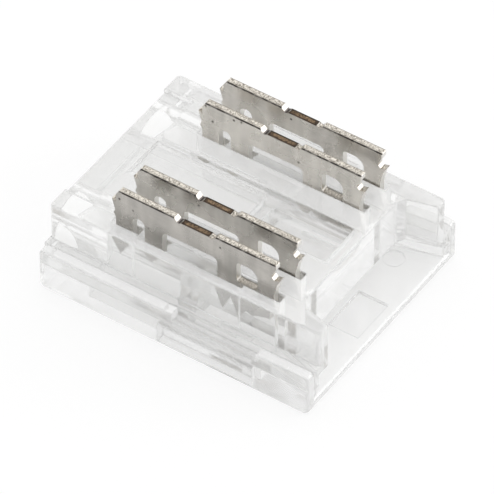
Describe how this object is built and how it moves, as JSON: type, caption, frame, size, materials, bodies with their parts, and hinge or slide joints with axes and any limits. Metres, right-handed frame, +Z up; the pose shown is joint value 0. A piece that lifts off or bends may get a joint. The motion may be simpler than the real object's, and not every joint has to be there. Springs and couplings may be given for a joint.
{
  "type": "led strip connector",
  "caption": "Clear snap-together housing that joins an LED strip to wires, with sharp contact blades standing in slots, ready to be pressed flush.",
  "frame": {"origin": "middle of the underside of the base tray", "axes": "+X from the wire end to the strip end, +Y across the connector, +Z up out of the blade slots"},
  "size_m": [0.017, 0.0142, 0.0076],
  "materials": {
    "clear_plastic": "clear, polished mould surface",
    "tinned_copper_alloy": "bright tin plating, bare sheared top edge"
  },
  "bodies": {
    "housing": {"base_tray": "clear_plastic", "cover": "clear_plastic"},
    "front_outer_blade_body": {"front_outer_blade": "tinned_copper_alloy"},
    "front_inner_blade_body": {"front_inner_blade": "tinned_copper_alloy"},
    "back_inner_blade_body": {"back_inner_blade": "tinned_copper_alloy"},
    "back_outer_blade_body": {"back_outer_blade": "tinned_copper_alloy"}
  },
  "joints": [
    {"name": "front_outer_blade_press", "type": "slide", "parent": "housing", "child": "front_outer_blade_body", "axis": [0, 0, -1], "range_m": [0, 0.0024]},
    {"name": "front_inner_blade_press", "type": "slide", "parent": "housing", "child": "front_inner_blade_body", "axis": [0, 0, -1], "range_m": [0, 0.0024]},
    {"name": "back_inner_blade_press", "type": "slide", "parent": "housing", "child": "back_inner_blade_body", "axis": [0, 0, -1], "range_m": [0, 0.0024]},
    {"name": "back_outer_blade_press", "type": "slide", "parent": "housing", "child": "back_outer_blade_body", "axis": [0, 0, -1], "range_m": [0, 0.0024]}
  ]
}
